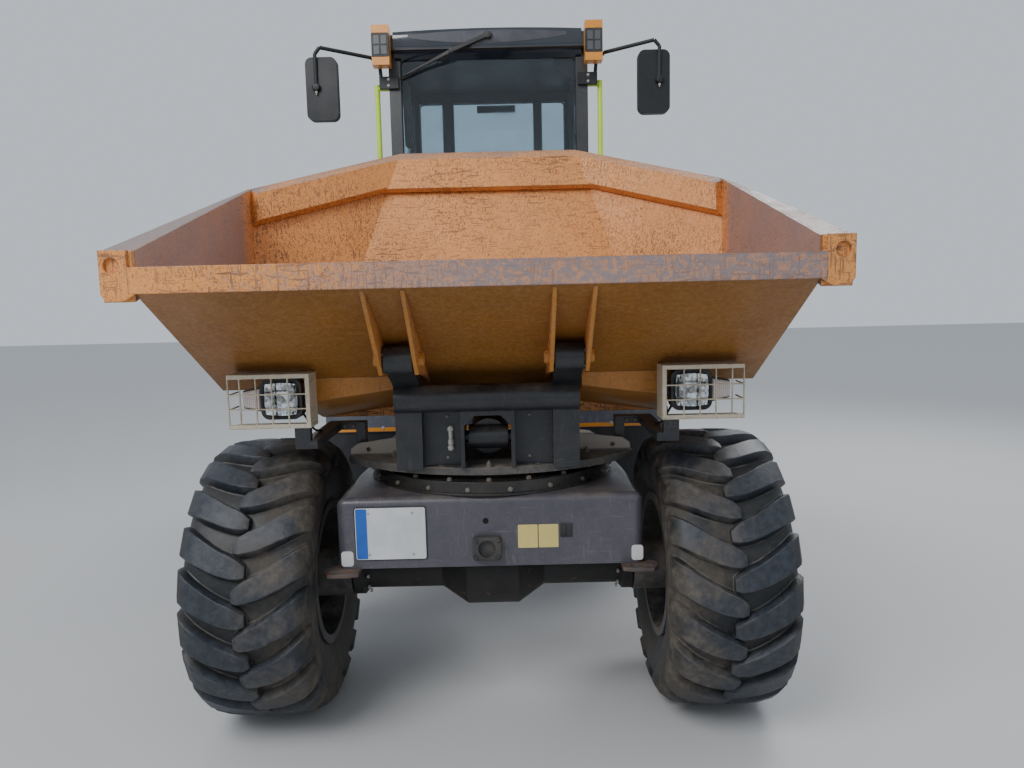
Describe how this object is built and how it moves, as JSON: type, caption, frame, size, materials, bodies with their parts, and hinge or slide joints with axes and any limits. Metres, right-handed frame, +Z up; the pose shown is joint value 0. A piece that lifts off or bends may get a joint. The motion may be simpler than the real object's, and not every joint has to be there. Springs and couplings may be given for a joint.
{
  "type": "site dumper with cab, swivel skip and articulated chassis",
  "caption": "Articulated site dumper with a glazed cab and a wide open skip that swivels on a turntable and tips forward over lugged tyres.",
  "frame": {"origin": "on the ground under the middle of the machine", "axes": "+Z up, -Y towards the skip lip at the front, +X to the right seen from the front"},
  "size_m": [2.388, 4.7, 3.35],
  "materials": {
    "skip_paint": "worn orange paint, scratched",
    "worn_steel": "bare worn steel",
    "chassis_paint": "satin dark grey paint",
    "frame_paint": "satin black paint",
    "body_paint": "orange paint",
    "cast": "rough casting",
    "rubber": "matt",
    "tyre": "dusty, worn lugs",
    "rim_paint": "satin",
    "rod_chrome": "polished",
    "cream_steel": "faded cream paint",
    "black_plastic": "textured",
    "lamp_glass": "clear lens",
    "cab_glass": "tinted",
    "grey_panel": "grey-blue paint",
    "seat_fabric": "woven",
    "rail_yellow": "fluorescent yellow-green",
    "red_lens": "red lens",
    "engine_grey": "block",
    "mirror": "mirror glass"
  },
  "bodies": {
    "front_unit": {"front_chassis": "chassis_paint", "front_axle": "cast", "lash_eyes": "worn_steel", "slew_ring": "cast", "tow_socket": "frame_paint"},
    "turntable": {"slew_plate": "chassis_paint", "turntable_frame": "frame_paint", "skip_rest_pads": "rubber", "lamp_guards": "cream_steel", "lamp_arms": "frame_paint", "road_lamps": "black_plastic", "lamp_lenses": "lamp_glass"},
    "skip": {"skip_shell": "skip_paint", "skip_lip": "worn_steel", "skip_ribs": "skip_paint", "skip_underframe": "skip_paint", "skip_rim": "skip_paint", "skip_corners": "skip_paint"},
    "tip_ram_barrel": {"tip_ram_barrel": "frame_paint"},
    "tip_ram_rod": {"tip_ram_rod": "rod_chrome"},
    "centre_block": {"centre_block": "chassis_paint"},
    "steer_barrel_left": {"steer_barrel_left": "frame_paint"},
    "steer_barrel_right": {"steer_barrel_right": "frame_paint"},
    "steer_rod_left": {"steer_rod_left": "rod_chrome"},
    "steer_rod_right": {"steer_rod_right": "rod_chrome"},
    "rear_unit": {"rear_chassis": "chassis_paint", "rear_axle": "cast", "engine_block": "engine_grey", "counterweight": "chassis_paint", "rear_lamps": "red_lens", "side_tanks": "body_paint", "deck_panel": "grey_panel", "rear_mudguards": "black_plastic", "cab_frame": "frame_paint", "cab_mounts": "frame_paint", "cab_roof": "black_plastic", "cab_glass": "cab_glass", "seat": "seat_fabric", "steering_column": "black_plastic", "handrails": "rail_yellow", "mirrors": "black_plastic", "roof_lamps": "body_paint", "steps": "chassis_paint", "mirror_glass": "mirror"},
    "bonnet": {"bonnet": "body_paint"},
    "door_left": {"door_left": "frame_paint", "door_glass_left": "cab_glass"},
    "door_right": {"door_right": "frame_paint", "door_glass_right": "cab_glass"},
    "steering_wheel": {"steering_wheel": "black_plastic"},
    "wheel_front_left": {"tyre_front_left": "tyre", "rim_front_left": "rim_paint"},
    "wheel_front_right": {"tyre_front_right": "tyre", "rim_front_right": "rim_paint"},
    "wheel_rear_left": {"tyre_rear_left": "tyre", "rim_rear_left": "rim_paint"},
    "wheel_rear_right": {"tyre_rear_right": "tyre", "rim_rear_right": "rim_paint"}
  },
  "joints": [
    {"name": "steer", "type": "hinge", "parent": "rear_unit", "child": "centre_block", "pos_m": [0, -0.22, 0.66], "axis": [0, 0, 1], "range_deg": [-35, 35]},
    {"name": "oscillate", "type": "hinge", "parent": "centre_block", "child": "front_unit", "pos_m": [0, -0.22, 0.66], "axis": [0, -1, 0], "range_deg": [-12, 12]},
    {"name": "slew", "type": "hinge", "parent": "front_unit", "child": "turntable", "pos_m": [0, -1.3, 0.985], "axis": [0, 0, -1], "range_deg": [-90, 90]},
    {"name": "tip", "type": "hinge", "parent": "turntable", "child": "skip", "pos_m": [0, -2, 1.5448], "axis": [1, 0, 0], "range_deg": [0, 65]},
    {"name": "tip_ram_swing", "type": "hinge", "parent": "turntable", "child": "tip_ram_barrel", "pos_m": [0, -1.7, 1.2], "axis": [1, 0, 0], "range_deg": [0, 65.21]},
    {"name": "tip_ram_stroke", "type": "slide", "parent": "tip_ram_barrel", "child": "tip_ram_rod", "axis": [0, 0.9899, 0.1414], "range_m": [0, 0.4916]},
    {"name": "steer_ram_swing_left", "type": "hinge", "parent": "rear_unit", "child": "steer_barrel_left", "pos_m": [0.28, 0.33, 0.64], "axis": [0, 0, 1], "range_deg": [-5.39, 5.39]},
    {"name": "steer_ram_stroke_left", "type": "slide", "parent": "steer_barrel_left", "child": "steer_rod_left", "axis": [-0.155, -0.9879, 0], "range_m": [-0.107, 0.107]},
    {"name": "steer_ram_swing_right", "type": "hinge", "parent": "rear_unit", "child": "steer_barrel_right", "pos_m": [-0.28, 0.33, 0.64], "axis": [0, 0, 1], "range_deg": [-5.39, 5.39]},
    {"name": "steer_ram_stroke_right", "type": "slide", "parent": "steer_barrel_right", "child": "steer_rod_right", "axis": [0.155, -0.9879, 0], "range_m": [-0.107, 0.107]},
    {"name": "roll_front_left", "type": "hinge", "parent": "front_unit", "child": "wheel_front_left", "pos_m": [0.93, -1.52, 0.585], "axis": [1, 0, 0], "continuous": true},
    {"name": "roll_front_right", "type": "hinge", "parent": "front_unit", "child": "wheel_front_right", "pos_m": [-0.93, -1.52, 0.585], "axis": [1, 0, 0], "continuous": true},
    {"name": "roll_rear_left", "type": "hinge", "parent": "rear_unit", "child": "wheel_rear_left", "pos_m": [0.93, 1.08, 0.585], "axis": [1, 0, 0], "continuous": true},
    {"name": "roll_rear_right", "type": "hinge", "parent": "rear_unit", "child": "wheel_rear_right", "pos_m": [-0.93, 1.08, 0.585], "axis": [1, 0, 0], "continuous": true},
    {"name": "open_door_left", "type": "hinge", "parent": "rear_unit", "child": "door_left", "pos_m": [0.612, 0.967, 2.2], "axis": [0, 0, 1], "range_deg": [0, 95]},
    {"name": "open_door_right", "type": "hinge", "parent": "rear_unit", "child": "door_right", "pos_m": [-0.612, 0.967, 2.2], "axis": [0, 0, -1], "range_deg": [0, 95]},
    {"name": "open_bonnet", "type": "hinge", "parent": "rear_unit", "child": "bonnet", "pos_m": [0, 2.241, 1.012], "axis": [-1, 0, 0], "range_deg": [0, 60]},
    {"name": "turn_steering_wheel", "type": "hinge", "parent": "rear_unit", "child": "steering_wheel", "pos_m": [0, 0.3, 1.76], "axis": [0, 0.2709, 0.9626], "continuous": true}
  ],
  "couplings": [
    {"joint": "tip_ram_swing", "follows": "tip", "ratio": 1.0025},
    {"joint": "tip_ram_stroke", "follows": "tip", "m_per_rad": 0.43292},
    {"joint": "steer_ram_swing_left", "follows": "steer", "ratio": -0.15248},
    {"joint": "steer_ram_stroke_left", "follows": "steer", "m_per_rad": -0.17427},
    {"joint": "steer_ram_swing_right", "follows": "steer", "ratio": -0.15248},
    {"joint": "steer_ram_stroke_right", "follows": "steer", "m_per_rad": 0.17427}
  ]
}
